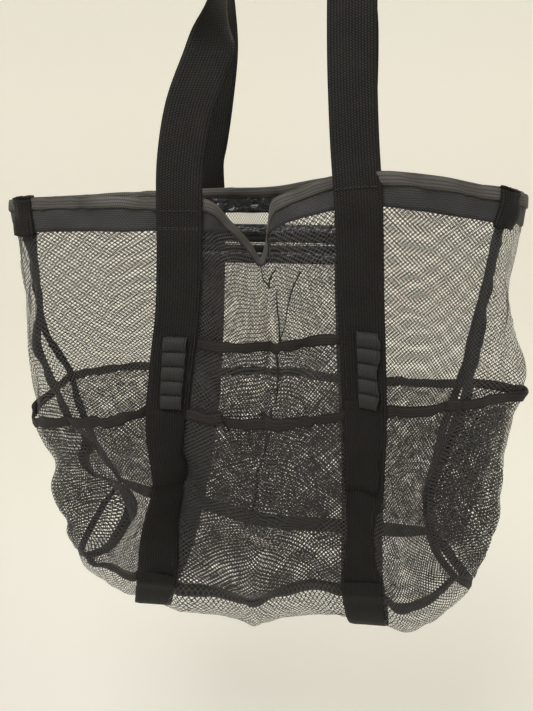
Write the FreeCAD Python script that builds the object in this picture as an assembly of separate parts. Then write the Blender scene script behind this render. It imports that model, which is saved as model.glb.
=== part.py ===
"""Open-mesh carry bag: netting walls, woven webbing straps, patch pockets and an inner zip pocket.

Millimetres. Built with the base seam at height 0 and the front facing -Y, then moved so
that the origin is the carry point, midway between the two grips. +X is the wearer's right
when looking at the front, +Z is up.
"""
import FreeCAD, Part
import os
from FreeCAD import Vector

# ---- driving dimensions --------------------------------------------------------------
WIDTH = 520.0            # front and back panels, seam to seam
DEPTH = 150.0            # gusset depth, front panel to back panel
HEIGHT = 480.0           # base seam to rim
BASE_SAG = 62.0          # how far the slack base netting hangs below its seam
BASE_SLOPE = 34.0        # how far it draws in on the way down
NET = 1.5                # thickness that stands in for one layer of netting
TAPE = 1.5               # binding and seam tape thickness
TAPE_WIDTH = 10.0        # seam tape and binding width
BAND_HEIGHT = 30.0       # woven band behind the rim
GAP = 0.3                # clearance between neighbouring sewn pieces

STRAP_WIDTH = 50.0       # webbing width
STRAP_THICK = 2.5
STRAP_AT_BASE = 125.0    # strap centre line from the middle, at the base
STRAP_AT_RIM = 95.0      # the carry loops draw the straps together at the rim
STRAP_LAYER = 5.0        # webbing lies this far outside the panel, over the rim band

DIP_HALF = 48.0          # the front rim folds into a V between the straps
DIP_DEPTH = 62.0

POCKET_FOOT = TAPE_WIDTH + 1.0
LOW_POCKET = 240.0       # mouth height of the pockets that run round the bag
TALL_POCKET = 328.0      # mouth height of the middle pocket
POCKET_ROOM = 8.0        # how far a filled-out pocket stands off its panel
SIDE_POCKET_ROOM = 23.0

LOOP_WIDTH = 25.0        # elastic loop strip on each front strap
LOOP_ROOM = 6.0
LOOP_CELL = 17.0
LOOP_COUNT = 5
LOOP_FOOT = LOW_POCKET + 6.0

HANDLE_LEG = 170.0       # flat length of webbing above the rim
HANDLE_TURN = 60.0       # length over which the webbing turns edge-on
HANDLE_GRIP_HALF = 58.0  # half the distance between the legs at the grip
HANDLE_LEAN = 8.0        # degrees; the two handles lean together
HINGE_OUT = 9.5          # fold line of a handle, outside the front panel
HINGE_UP = HEIGHT + 1.0

ZIP_HALF = 105.0         # inner pocket, half width
ZIP_TOP = 440.0
ZIP_FOOT = 235.0
STRIP_HEIGHT = 12.0      # coated strips above and below the zip
ZIP_TAPE_HEIGHT = 10.0
COIL_HEIGHT = 3.0
COIL_DEPTH = 2.5
POUCH_ROOM = 6.0         # inner pocket, clear depth
SLIDER_LENGTH = 11.0
SLIDER_HOME = 92.0       # slider centre when the zip is closed
PIN_RADIUS = 0.8
TAB_LENGTH = 26.0

HALF_W = WIDTH / 2
HALF_D = DEPTH / 2
OUT = 1                  # wall factor for the front, where outward is -Y
BACK = -1                # and for the back, where outward is +Y


# ---- helpers -------------------------------------------------------------------------
def strap_x(v):
    """Distance of a strap's centre line from the middle, at height v."""
    return STRAP_AT_BASE + (STRAP_AT_RIM - STRAP_AT_BASE) * v / HEIGHT


def strap_outer(v):
    return strap_x(v) + STRAP_WIDTH / 2


def strap_inner(v):
    return strap_x(v) - STRAP_WIDTH / 2


def prism(outline, w0, w1, wall=OUT):
    """Flat piece on the front or back wall: outline in (across, up), w is outward depth."""
    y0 = -wall * (HALF_D + w0)
    points = [Vector(u, y0, v) for u, v in outline]
    face = Part.Face(Part.makePolygon(points + points[:1]))
    return face.extrude(Vector(0, -wall * (w1 - w0), 0))


def side_prism(outline, w0, w1, side):
    """Flat piece on a side wall: outline in (along Y, up), w is outward depth."""
    x0 = side * (HALF_W + w0)
    points = [Vector(x0, u, v) for u, v in outline]
    face = Part.Face(Part.makePolygon(points + points[:1]))
    return face.extrude(Vector(side * (w1 - w0), 0, 0))


def rectangle(u0, u1, v0, v1):
    return [(u0, v0), (u1, v0), (u1, v1), (u0, v1)]


def mirrored(outline):
    return [(-u, v) for u, v in outline]


def moved(shape, x, y, z):
    copy = shape.copy()
    copy.translate(Vector(x, y, z))
    return copy


def group(shapes):
    return Part.makeCompound(shapes)


def dish(half_x, half_y, top, drop):
    """Solid of a pan: a rectangle at the top that narrows to a smaller one below it."""
    wires = []
    for z, shrink in ((top, 0.0), (top - drop, BASE_SLOPE)):
        hx = half_x - shrink
        hy = half_y - shrink
        corners = [Vector(-hx, -hy, z), Vector(hx, -hy, z), Vector(hx, hy, z), Vector(-hx, hy, z)]
        wires.append(Part.makePolygon(corners + corners[:1]))
    return Part.makeLoft(wires, True, True)


# ---- netting walls -------------------------------------------------------------------
def front_edge(drop):
    """Top edge of the front between the straps, lowered by drop; it dips to a V."""
    level = HEIGHT - drop
    return [(DIP_HALF, level), (0.0, level - DIP_DEPTH), (-DIP_HALF, level)]


def front_panel():
    outline = [(-HALF_W, 0.0), (HALF_W, 0.0), (HALF_W, HEIGHT)] + front_edge(0.0)
    return prism(outline + [(-HALF_W, HEIGHT)], 0.0, NET)


def back_panel():
    return prism(rectangle(-HALF_W, HALF_W, 0.0, HEIGHT), 0.0, NET, BACK)


def side_panel(side):
    return side_prism(rectangle(-HALF_D, HALF_D, 0.0, HEIGHT), 0.0, NET, side)


def base_panel():
    outer = dish(HALF_W, HALF_D, -GAP, BASE_SAG)
    inner = dish(HALF_W - NET, HALF_D - NET, -GAP, BASE_SAG - NET)
    return outer.cut(inner)


# ---- rim -----------------------------------------------------------------------------
def front_strip(top_drop, foot_drop):
    """Strip along the front rim, between two depths below it, that follows the V."""
    upper = [(HALF_W, HEIGHT - top_drop)] + front_edge(top_drop) + [(-HALF_W, HEIGHT - top_drop)]
    lower = [(HALF_W, HEIGHT - foot_drop)] + front_edge(foot_drop) + [(-HALF_W, HEIGHT - foot_drop)]
    return upper + lower[::-1]


def rim_band_front():
    return prism(front_strip(0.0, BAND_HEIGHT), NET, 2 * NET)


def rim_binding_front():
    tape = prism(front_strip(-TAPE, TAPE_WIDTH), -TAPE, 2 * NET + TAPE)
    return tape.cut(prism(front_strip(0.0, 2 * TAPE_WIDTH), 0.0, 2 * NET))


def rim_band_back():
    return prism(rectangle(-HALF_W, HALF_W, HEIGHT - BAND_HEIGHT, HEIGHT), NET, 2 * NET, BACK)


def rim_binding_back():
    foot = HEIGHT - TAPE_WIDTH
    tape = prism(rectangle(-HALF_W, HALF_W, foot, HEIGHT + TAPE), -TAPE, 2 * NET + TAPE, BACK)
    return tape.cut(prism(rectangle(-WIDTH, WIDTH, 0.0, HEIGHT), 0.0, 2 * NET, BACK))


def rim_band_side(side):
    return side_prism(rectangle(-HALF_D, HALF_D, HEIGHT - BAND_HEIGHT, HEIGHT), NET, 2 * NET, side)


def rim_binding_side(side):
    reach = HALF_D - TAPE - GAP
    tape = side_prism(rectangle(-reach, reach, HEIGHT - TAPE_WIDTH, HEIGHT + TAPE),
                      -TAPE, 2 * NET + TAPE, side)
    return tape.cut(side_prism(rectangle(-DEPTH, DEPTH, 0.0, HEIGHT), 0.0, 2 * NET, side))


def rim_tab(side):
    """Folded webbing tab over the front corner of the rim, where the band's ends meet."""
    inner = side * (HALF_W - 10.0)
    outer = side * (HALF_W + 16.0)
    outline = rectangle(min(inner, outer), max(inner, outer), HEIGHT - 34.0, HEIGHT + 2.0)
    return prism(outline, STRAP_LAYER, STRAP_LAYER + 2.0)


# ---- seam tapes ----------------------------------------------------------------------
def corner_tape(side, wall):
    inner = side * (HALF_W - TAPE_WIDTH)
    outer = side * HALF_W
    outline = rectangle(min(inner, outer), max(inner, outer), POCKET_FOOT, HEIGHT - BAND_HEIGHT)
    return prism(outline, NET, NET + TAPE, wall)


def base_tape(wall):
    return prism(rectangle(-HALF_W, HALF_W, 0.0, TAPE_WIDTH), NET, NET + TAPE, wall)


def base_tape_side(side):
    return side_prism(rectangle(-HALF_D, HALF_D, 0.0, TAPE_WIDTH), NET, NET + TAPE, side)


# ---- pockets -------------------------------------------------------------------------
def pocket(outline, floor_w, room, wall=OUT):
    """Patch pocket, open at the top: outline goes foot left, foot right, mouth right, mouth left."""
    (l0, foot), (r0, _), (r1, mouth), (l1, _) = outline
    body = prism(outline, floor_w, floor_w + room + NET, wall)
    hollow = [(l0 + NET, foot + NET), (r0 - NET, foot + NET),
              (r1 - NET, mouth + NET), (l1 + NET, mouth + NET)]
    return body.cut(prism(hollow, floor_w - NET, floor_w + room, wall))


def wing_outline(mouth):
    """Between a strap and the corner tape, right-hand side."""
    outer = HALF_W - TAPE_WIDTH - GAP
    return [(strap_outer(POCKET_FOOT) + GAP, POCKET_FOOT), (outer, POCKET_FOOT),
            (outer, mouth), (strap_outer(mouth) + GAP, mouth)]


def middle_outline(mouth, foot=POCKET_FOOT):
    """Between the two straps."""
    return [(-strap_inner(foot) + GAP, foot), (strap_inner(foot) - GAP, foot),
            (strap_inner(mouth) - GAP, mouth), (-strap_inner(mouth) + GAP, mouth)]


def flipped(outline):
    """The same outline on the left-hand side, in the same corner order."""
    foot_left, foot_right, mouth_right, mouth_left = mirrored(outline)
    return [foot_right, foot_left, mouth_left, mouth_right]


def divided(shape, floor_w, room, mouth):
    """Adds the sewn line that splits a middle pocket in two."""
    return shape.fuse(prism(rectangle(-NET, NET, POCKET_FOOT, mouth), floor_w, floor_w + room + NET / 2))


def side_pocket(side):
    reach = HALF_D - 2.0
    top = LOW_POCKET
    body = side_prism(rectangle(-reach, reach, POCKET_FOOT, top), NET, NET + SIDE_POCKET_ROOM + NET, side)
    hollow = rectangle(-reach + NET, reach - NET, POCKET_FOOT + NET, top + NET)
    return body.cut(side_prism(hollow, 0.0, NET + SIDE_POCKET_ROOM, side))


def mouth_binding(outline, out_w, wall=OUT):
    """Binding on the outside of a pocket's mouth."""
    (_, _), (_, _), (r1, mouth), (l1, _) = outline
    return prism(rectangle(l1, r1, mouth - TAPE_WIDTH, mouth), out_w, out_w + TAPE, wall)


def pocket_bindings(wall, middle_w):
    wing = wing_outline(LOW_POCKET)
    wing_w = NET + POCKET_ROOM + NET
    return group([mouth_binding(wing, wing_w, wall),
                  mouth_binding(flipped(wing), wing_w, wall),
                  mouth_binding(middle_outline(LOW_POCKET), middle_w, wall)])


def side_binding(side):
    reach = HALF_D - 2.0
    out_w = NET + SIDE_POCKET_ROOM + NET
    return side_prism(rectangle(-reach, reach, LOW_POCKET - TAPE_WIDTH, LOW_POCKET),
                      out_w, out_w + TAPE, side)


# ---- webbing -------------------------------------------------------------------------
def strap(side, wall):
    outline = [(strap_inner(0.0), 0.0), (strap_outer(0.0), 0.0),
               (strap_outer(HEIGHT), HEIGHT), (strap_inner(HEIGHT), HEIGHT)]
    if side < 0:
        outline = mirrored(outline)
    return prism(outline, STRAP_LAYER, STRAP_LAYER + STRAP_THICK, wall)


def base_strap(side):
    """The webbing goes on under the base, from the front strap to the back one."""
    edge = HALF_D + STRAP_LAYER
    flat = HALF_D - BASE_SLOPE + 3.0
    low = -GAP - BASE_SAG - 1.0
    thick = STRAP_THICK
    section = [(-edge - thick, -GAP), (-flat - thick, low - thick), (flat + thick, low - thick),
               (edge + thick, -GAP), (edge, -GAP), (flat, low), (-flat, low), (-edge, -GAP)]
    x0 = side * STRAP_AT_BASE - STRAP_WIDTH / 2
    points = [Vector(x0, y, z) for y, z in section]
    return Part.Face(Part.makePolygon(points + points[:1])).extrude(Vector(STRAP_WIDTH, 0, 0))


def elastic_loops(side):
    """Elastic strip sewn to the strap at intervals, which leaves a row of loops."""
    top_w = STRAP_LAYER + STRAP_THICK
    height = LOOP_CELL * LOOP_COUNT + NET
    middle = side * strap_x(LOOP_FOOT + height / 2)
    left = middle - LOOP_WIDTH / 2
    right = middle + LOOP_WIDTH / 2
    strip = prism(rectangle(left, right, LOOP_FOOT, LOOP_FOOT + height),
                  top_w + LOOP_ROOM, top_w + LOOP_ROOM + NET)
    for row in range(LOOP_COUNT + 1):
        foot = LOOP_FOOT + row * LOOP_CELL
        strip = strip.fuse(prism(rectangle(left, right, foot, foot + NET), top_w, top_w + LOOP_ROOM))
    return strip.removeSplitter()


def bar_tacks():
    """Dense stitch bars where each strap crosses the rim."""
    bars = []
    layer = STRAP_LAYER + STRAP_THICK
    for wall in (OUT, BACK):
        for side in (-1, 1):
            for v in (HEIGHT - BAND_HEIGHT, HEIGHT - 6.0):
                middle = side * strap_x(v)
                bars.append(prism(rectangle(middle - 21.0, middle + 21.0, v, v + 2.0),
                                  layer, layer + 0.6, wall))
    return group(bars)


def webbing_section(x, z, turn):
    """Webbing cross-section at (x, z), turned about the vertical from flat-on to edge-on."""
    half_w = STRAP_WIDTH / 2
    half_t = STRAP_THICK / 2
    spin = FreeCAD.Rotation(Vector(0, 0, 1), turn)
    corners = []
    for a, b in ((-half_w, -half_t), (half_w, -half_t), (half_w, half_t), (-half_w, half_t)):
        corners.append(spin.multVec(Vector(a, b, 0)) + Vector(x, 0, z))
    return Part.makePolygon(corners + corners[:1])


def handle():
    """Front handle with its fold line on the X axis, standing upright, outward along -Y."""
    root_x = STRAP_AT_RIM
    top_x = HANDLE_GRIP_HALF
    root_z = 0.8
    steps = 3
    solids = []
    for side in (-1, 1):
        flat = [webbing_section(side * root_x, root_z, 0.0),
                webbing_section(side * (root_x + top_x) / 2, HANDLE_LEG, 0.0)]
        solids.append(Part.makeLoft(flat, True, True))
        turning = []
        for step in range(steps + 1):
            share = step / steps
            x = side * ((root_x + top_x) / 2 + (top_x - root_x) / 2 * share)
            turning.append(webbing_section(x, HANDLE_LEG + HANDLE_TURN * share, side * 90.0 * share))
        solids.append(Part.makeLoft(turning, True, True))
    grip_z = HANDLE_LEG + HANDLE_TURN
    outer = top_x + STRAP_THICK / 2
    ring = Part.makeCylinder(outer, STRAP_WIDTH, Vector(0, -STRAP_WIDTH / 2, grip_z), Vector(0, 1, 0))
    hole = Part.makeCylinder(outer - STRAP_THICK, STRAP_WIDTH,
                             Vector(0, -STRAP_WIDTH / 2, grip_z), Vector(0, 1, 0))
    keep = Part.makeBox(2 * outer, STRAP_WIDTH, outer, Vector(-outer, -STRAP_WIDTH / 2, grip_z))
    solids.append(ring.cut(hole).common(keep))
    whole = solids[0].multiFuse(solids[1:]).removeSplitter()
    leg_out = HINGE_OUT - STRAP_LAYER - STRAP_THICK / 2
    return moved(whole, 0.0, leg_out, 0.0)


def placed_handle(wall):
    """A handle leans inward from its fold line at the rim."""
    shape = handle()
    shape.rotate(Vector(0, 0, 0), Vector(1, 0, 0), -HANDLE_LEAN)
    shape = moved(shape, 0.0, -HALF_D - HINGE_OUT, HINGE_UP)
    if wall == BACK:
        shape.rotate(Vector(0, 0, 0), Vector(0, 0, 1), 180.0)
    return shape


# ---- inner zip pocket, on the inside of the back panel ----------------------------------
POUCH_WALL = -(POUCH_ROOM + NET)      # outward depth of the pocket's inner face, so negative
COIL_FOOT = ZIP_TOP - STRIP_HEIGHT - ZIP_TAPE_HEIGHT - COIL_HEIGHT
COIL_MIDDLE = COIL_FOOT + COIL_HEIGHT / 2
LOWER_TAPE_FOOT = COIL_FOOT - ZIP_TAPE_HEIGHT
LOWER_STRIP_FOOT = LOWER_TAPE_FOOT - STRIP_HEIGHT


def inner_row(foot, height, half=ZIP_HALF):
    return prism(rectangle(-half, half, foot, foot + height), POUCH_WALL, -POUCH_ROOM, BACK)


def inner_pouch():
    """Netting front of the pocket with returned edges; the zip closes its mouth."""
    top = LOWER_STRIP_FOOT
    body = prism(rectangle(-ZIP_HALF, ZIP_HALF, ZIP_FOOT, top), POUCH_WALL, 0.0, BACK)
    hollow = rectangle(-ZIP_HALF + NET, ZIP_HALF - NET, ZIP_FOOT + NET, top + NET)
    return body.cut(prism(hollow, -POUCH_ROOM, NET, BACK))


def upper_strip():
    foot = ZIP_TOP - STRIP_HEIGHT
    lip = prism(rectangle(-ZIP_HALF, ZIP_HALF, ZIP_TOP - NET, ZIP_TOP), -POUCH_ROOM, 0.0, BACK)
    return inner_row(foot, STRIP_HEIGHT).fuse(lip).removeSplitter()


def coil():
    half = SLIDER_HOME + 2.0
    return prism(rectangle(-half, half, COIL_FOOT + GAP, COIL_FOOT + COIL_HEIGHT - GAP),
                 POUCH_WALL - COIL_DEPTH / 2, POUCH_WALL + COIL_DEPTH / 2, BACK)


def end_stops():
    stops = []
    for side in (-1, 1):
        x = side * (ZIP_HALF - 3.0)
        stops.append(prism(rectangle(x - 1.5, x + 1.5, COIL_MIDDLE - 4.0, COIL_MIDDLE + 4.0),
                           POUCH_WALL - 2.0, POUCH_WALL, BACK))
    return group(stops)


def slider():
    """Slider on the coil: a top plate with two side flanges, two ears and the tab's pin."""
    half = SLIDER_LENGTH / 2
    plate_out = POUCH_WALL - COIL_DEPTH / 2 - 0.4
    plate = prism(rectangle(-half, half, COIL_MIDDLE - 4.5, COIL_MIDDLE + 4.5),
                  plate_out - 1.6, plate_out, BACK)
    for sign in (-1, 1):
        edge = COIL_MIDDLE + sign * 4.0
        plate = plate.fuse(prism(rectangle(-half, half, edge - 0.5, edge + 0.5),
                                 plate_out, plate_out + 1.0, BACK))
        ear = COIL_MIDDLE + sign * 3.5
        plate = plate.fuse(prism(rectangle(-2.2, 2.2, ear - 0.6, ear + 0.6),
                                 plate_out - 6.2, plate_out - 1.6, BACK))
    pin_y = HALF_D + plate_out - 4.1
    pin = Part.makeCylinder(PIN_RADIUS, 7.0, Vector(0, pin_y, COIL_MIDDLE - 3.5))
    return moved(plate.fuse(pin).removeSplitter(), SLIDER_HOME, 0.0, 0.0), pin_y


def pull_tab(pin_y):
    """Pull tab with a round eye on the slider's pin; it lies back along the zip."""
    eye_outer = 2.1
    eye_height = 5.0
    eye_foot = COIL_MIDDLE - eye_height / 2
    eye = Part.makeCylinder(eye_outer, eye_height, Vector(0, pin_y, eye_foot))
    tongue = Part.makeBox(TAB_LENGTH - 5.0, 1.2, 8.0, Vector(-TAB_LENGTH, pin_y - 0.6, COIL_MIDDLE - 4.0))
    neck = Part.makeBox(5.0, 1.2, eye_height, Vector(-5.0, pin_y - 0.6, eye_foot))
    bore = Part.makeCylinder(PIN_RADIUS + GAP, eye_height + 2.0, Vector(0, pin_y, eye_foot - 1.0))
    slot = Part.makeBox(9.0, 2.0, 3.0, Vector(-TAB_LENGTH + 3.0, pin_y - 1.0, COIL_MIDDLE - 1.5))
    tab = eye.fuse(neck).fuse(tongue).cut(bore).cut(slot).removeSplitter()
    return moved(tab, SLIDER_HOME, 0.0, 0.0)


# ---- assembly ------------------------------------------------------------------------
def build():
    wing = wing_outline(LOW_POCKET)
    low_middle = middle_outline(LOW_POCKET)
    tall_middle = middle_outline(TALL_POCKET)
    low_floor = NET + POCKET_ROOM + NET          # the low middle pocket lies on the tall one
    slider_shape, pin_y = slider()
    parts = {
        "front_mesh_panel": front_panel(),
        "back_mesh_panel": back_panel(),
        "base_mesh_panel": base_panel(),
        "front_rim_band": rim_band_front(),
        "back_rim_band": rim_band_back(),
        "front_rim_binding": rim_binding_front(),
        "back_rim_binding": rim_binding_back(),
        "front_base_tape": base_tape(OUT),
        "back_base_tape": base_tape(BACK),
        "front_right_pocket": pocket(wing, NET, POCKET_ROOM),
        "front_left_pocket": pocket(flipped(wing), NET, POCKET_ROOM),
        "front_tall_pocket": divided(pocket(tall_middle, NET, POCKET_ROOM), NET, POCKET_ROOM, TALL_POCKET),
        "front_low_pocket": divided(pocket(low_middle, low_floor, POCKET_ROOM),
                                    low_floor, POCKET_ROOM, LOW_POCKET),
        "back_right_pocket": pocket(wing, NET, POCKET_ROOM, BACK),
        "back_left_pocket": pocket(flipped(wing), NET, POCKET_ROOM, BACK),
        "back_low_pocket": pocket(low_middle, NET, POCKET_ROOM, BACK),
        "front_pocket_binding": pocket_bindings(OUT, low_floor + POCKET_ROOM + NET),
        "back_pocket_binding": pocket_bindings(BACK, low_floor),
        "tall_pocket_binding": mouth_binding(tall_middle, low_floor),
        "strap_bar_tacks": bar_tacks(),
        "inner_pocket_mesh": inner_pouch(),
        "inner_pocket_upper_strip": upper_strip(),
        "inner_pocket_lower_strip": inner_row(LOWER_STRIP_FOOT, STRIP_HEIGHT),
        "zipper_upper_tape": inner_row(COIL_FOOT + COIL_HEIGHT, ZIP_TAPE_HEIGHT),
        "zipper_lower_tape": inner_row(LOWER_TAPE_FOOT, ZIP_TAPE_HEIGHT),
        "zipper_coil": coil(),
        "zipper_end_stops": end_stops(),
        "zipper_slider": slider_shape,
        "zipper_pull_tab": pull_tab(pin_y),
        "front_handle": placed_handle(OUT),
        "back_handle": placed_handle(BACK),
    }
    for name, side in (("left", -1), ("right", 1)):
        parts[name + "_side_mesh"] = side_panel(side)
        parts[name + "_rim_band"] = rim_band_side(side)
        parts[name + "_rim_binding"] = rim_binding_side(side)
        parts[name + "_rim_tab"] = rim_tab(side)
        parts[name + "_base_tape"] = base_tape_side(side)
        parts[name + "_side_pocket"] = side_pocket(side)
        parts[name + "_pocket_binding"] = side_binding(side)
        parts[name + "_base_strap"] = base_strap(side)
        parts[name + "_elastic_loops"] = elastic_loops(side)
        for place, wall in (("front", OUT), ("back", BACK)):
            parts[place + "_" + name + "_seam_tape"] = corner_tape(side, wall)
            parts[place + "_" + name + "_strap"] = strap(side, wall)
    return parts


def carry_height(parts):
    """Height of the grips' underside, where a hand or hook carries the bag."""
    return parts["front_handle"].BoundBox.ZMax - STRAP_THICK


def main():
    os.makedirs("parts", exist_ok=True)
    parts = build()
    lift = carry_height(parts)
    for node, shape in parts.items():
        moved(shape, 0.0, 0.0, -lift).exportStep("parts/" + node + ".step")
        print(node, "valid" if shape.isValid() else "INVALID", len(shape.Solids), round(shape.Volume))
    hinge_z = HINGE_UP - lift
    print("carry height", lift, "hinge", -HALF_D - HINGE_OUT, hinge_z)
    print("pull pin", SLIDER_HOME, slider()[1], COIL_MIDDLE - lift, "nodes", len(parts))


main()
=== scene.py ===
import math
import bpy
import numpy as np
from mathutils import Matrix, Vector, noise


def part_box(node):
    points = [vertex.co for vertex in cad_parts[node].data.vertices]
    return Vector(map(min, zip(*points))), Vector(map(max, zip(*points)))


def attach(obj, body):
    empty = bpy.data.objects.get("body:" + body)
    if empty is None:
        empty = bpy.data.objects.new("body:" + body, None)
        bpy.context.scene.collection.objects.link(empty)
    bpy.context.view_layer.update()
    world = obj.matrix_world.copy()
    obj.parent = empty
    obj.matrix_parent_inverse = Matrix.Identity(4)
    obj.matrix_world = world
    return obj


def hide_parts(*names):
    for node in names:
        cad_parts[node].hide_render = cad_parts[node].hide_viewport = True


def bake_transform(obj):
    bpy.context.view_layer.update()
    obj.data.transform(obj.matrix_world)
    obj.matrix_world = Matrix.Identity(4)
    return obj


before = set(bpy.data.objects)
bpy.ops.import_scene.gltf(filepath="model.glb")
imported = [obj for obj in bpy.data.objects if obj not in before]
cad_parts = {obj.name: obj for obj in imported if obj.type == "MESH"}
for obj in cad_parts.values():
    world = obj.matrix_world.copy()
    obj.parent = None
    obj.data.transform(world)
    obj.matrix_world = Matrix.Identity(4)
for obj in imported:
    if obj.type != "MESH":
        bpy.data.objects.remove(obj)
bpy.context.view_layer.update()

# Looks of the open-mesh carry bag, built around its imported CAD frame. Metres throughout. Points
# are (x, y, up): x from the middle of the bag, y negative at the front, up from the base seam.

# ---- places taken from the frame ------------------------------------------------------
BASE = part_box("front_mesh_panel")[0].z
STRAP_WIDTH = 0.050
WEB = 0.0018             # webbing thickness
CLOTH = 0.0009           # tape and band thickness
BINDING = 0.011
BAND = 0.030
FLAT_W = 0.56            # cut sizes of the panels
FLAT_H = 0.50
FLAT_D = 0.18
STRAP_U = (0.155, 0.405)  # strap centre lines on the front and back panels, in cut width
L_STRAP, R_STRAP = STRAP_U


# ---- curves and grids -----------------------------------------------------------------
def spline(points, count, dense=24):
    """Catmull-Rom curve through the points, as count points evenly spaced along it."""
    p = np.array(points, float)
    p = np.vstack([2 * p[0] - p[1], p, 2 * p[-1] - p[-2]])
    t = np.linspace(0, 1, dense, endpoint=False)[:, None]
    spans = []
    for a, b, c, d in zip(p[:-3], p[1:-2], p[2:-1], p[3:]):
        spans.append(0.5 * (2 * b + (c - a) * t + (2 * a - 5 * b + 4 * c - d) * t ** 2
                            + (3 * b - a - 3 * c + d) * t ** 3))
    curve = np.vstack(spans + [p[-2:-1]])
    steps = np.linalg.norm(np.diff(curve[:, :3], axis=0), axis=1)
    along = np.concatenate([[0], np.cumsum(steps)])
    target = np.linspace(0, along[-1], count)
    return np.stack([np.interp(target, along, curve[:, k]) for k in range(curve.shape[1])], 1)


def across(keys, values, where):
    """Catmull-Rom interpolation of rows of values at keys, for each place in where."""
    keys = np.array(keys, float)
    out = []
    for u in where:
        i = int(np.clip(np.searchsorted(keys, u) - 1, 0, len(keys) - 2))
        a, d = max(i - 1, 0), min(i + 2, len(keys) - 1)
        h = keys[i + 1] - keys[i]
        t = (u - keys[i]) / h
        ma = (values[i + 1] - values[a]) / max(keys[i + 1] - keys[a], 1e-9) * h
        mb = (values[d] - values[i]) / max(keys[d] - keys[i], 1e-9) * h
        out.append((2 * t ** 3 - 3 * t ** 2 + 1) * values[i] + (t ** 3 - 2 * t ** 2 + t) * ma
                   + (3 * t ** 2 - 2 * t ** 3) * values[i + 1] + (t ** 3 - t ** 2) * mb)
    return np.array(out)


def unit(vectors):
    """The same vectors, one long, along the last axis."""
    return vectors / np.maximum(np.linalg.norm(vectors, axis=-1, keepdims=True), 1e-12)


class Wall:
    """A cut panel in space: points p[i, j], i across its cut width u, j up its height share t."""

    def __init__(self, columns, width, height, n_u=71, n_t=67, outward=(0, -1, 0)):
        self.width, self.height = width, height
        self.u = np.linspace(0, width, n_u)
        self.t = np.linspace(0, 1, n_t)
        keys = [u for u, _ in columns]
        lines = [spline(points, n_t) for _, points in columns]
        self.p = across(keys, np.array(lines), self.u)
        self.outward = np.array(outward, float)

    def fit_row(self, j, curve, reach):
        """Moves row j onto a curve of (cut place, point) pairs, fading out over reach of the height."""
        line = across([u for u, _ in curve], np.array([point for _, point in curve]), self.u)
        move = line - self.p[:, j]
        fade = np.clip(1 - np.abs(self.t - self.t[j]) / reach, 0, 1) ** 2
        self.p += move[:, None, :] * fade[None, :, None]

    def at(self, u, t):
        """Points at cut places u (metres) and height shares t, which may be arrays."""
        u, t = np.broadcast_arrays(np.asarray(u, float), np.asarray(t, float))
        x = np.clip(u / self.width, 0, 1) * (len(self.u) - 1)
        y = np.clip(t, 0, 1) * (len(self.t) - 1)
        i = np.minimum(x.astype(int), len(self.u) - 2)
        j = np.minimum(y.astype(int), len(self.t) - 2)
        a, b = (x - i)[..., None], (y - j)[..., None]
        p = self.p
        return ((1 - a) * (1 - b) * p[i, j] + a * (1 - b) * p[i + 1, j]
                + (1 - a) * b * p[i, j + 1] + a * b * p[i + 1, j + 1])

    def normal(self, u, t):
        """Unit normals at those places, on the outer side of the wall."""
        e, f = 0.006, 0.012
        du = self.at(np.minimum(u + e, self.width), t) - self.at(np.maximum(u - e, 0), t)
        dt = self.at(u, np.minimum(t + f, 1)) - self.at(u, np.maximum(t - f, 0))
        n = unit(np.cross(du, dt))
        if np.mean(n @ self.outward) < 0:
            n = -n
        return n

    def off(self, u, t, lift):
        u, t, lift = np.broadcast_arrays(np.asarray(u, float), t, lift)
        return self.at(u, t) + self.normal(u, t) * lift[..., None]

    def near(self, x, up):
        """Cut place and height share whose point is nearest to x and up, seen from the front."""
        gap = (self.p[:, :, 0] - x) ** 2 + (self.p[:, :, 2] - up) ** 2
        i, j = np.unravel_index(np.argmin(gap), gap.shape)
        return self.u[i], self.t[j]

    def level(self, u, up):
        """Height shares at which the wall reaches the heights up, at cut places u."""
        t = np.linspace(0, 1, 201)
        u, up = np.broadcast_arrays(np.asarray(u, float), up)
        out = [np.interp(z, np.maximum.accumulate(self.at(a, t)[:, 2]), t) for a, z in zip(u, up)]
        return np.array(out)


# ---- meshes ---------------------------------------------------------------------------
def new_object(name, verts, faces, uvs, material, smooth=True):
    """Mesh object in the row frame; heights above the base seam become row heights here."""
    verts = np.array(verts, float)
    verts[:, 2] += BASE
    mesh = bpy.data.meshes.new(name)
    mesh.from_pydata(verts.tolist(), [], faces)
    layer = mesh.uv_layers.new(name="UVMap")
    loops = np.empty(len(mesh.loops), int)
    mesh.loops.foreach_get("vertex_index", loops)
    layer.data.foreach_set("uv", np.array(uvs, float)[loops].ravel())
    mesh.materials.append(material)
    mesh.validate()
    if smooth:
        mesh.shade_smooth()
    obj = bpy.data.objects.new(name, mesh)
    bpy.context.scene.collection.objects.link(obj)
    return obj


def grid_faces(n, m, start=0, flip=False):
    faces = []
    for i in range(n - 1):
        for j in range(m - 1):
            a = start + i * m + j
            quad = (a, a + m, a + m + 1, a + 1)
            faces.append(quad[::-1] if flip else quad)
    return faces


def sheet(name, points, uv, material):
    """Single-layer sheet from an n by m grid of points."""
    n, m, _ = points.shape
    return new_object(name, points.reshape(-1, 3), grid_faces(n, m), uv.reshape(-1, 2), material)


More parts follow.
